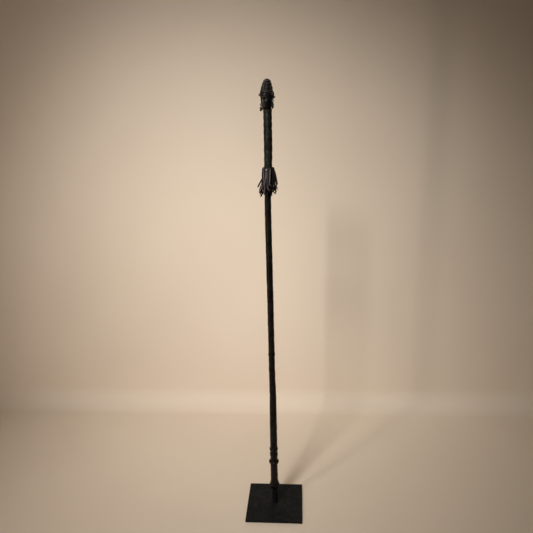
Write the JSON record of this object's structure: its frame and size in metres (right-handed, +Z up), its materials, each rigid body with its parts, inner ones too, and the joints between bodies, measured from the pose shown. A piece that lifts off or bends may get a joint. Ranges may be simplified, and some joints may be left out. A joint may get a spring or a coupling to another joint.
{
  "type": "bronze staff",
  "caption": "Ceremonial cast bronze staff with a capped head for a finial, a relief grip and a leather tassel, standing on a square steel display stand.",
  "frame": {"origin": "middle of the stand plate's underside", "axes": "+Z up along the staff, +X along the plate's front edge to the viewer's right, +Y to the back; the finial's face looks 28 degrees from -Y towards -X"},
  "size_m": [0.2, 0.2, 1.4873],
  "materials": {
    "head_bronze": "dark brown cast bronze, hand worn, with dull green patina in the hollows",
    "shaft_bronze": "dark reddish brown cast bronze, dull, with worn lighter streaks",
    "dark_leather": "old purplish brown leather strips, shiny on the folds",
    "black_steel": "satin black paint"
  },
  "bodies": {
    "root": {"base_plate": "black_steel", "stand_post": "black_steel", "shaft": "shaft_bronze", "head_and_grip": "head_bronze", "tassel": "dark_leather"}
  },
  "joints": []
}
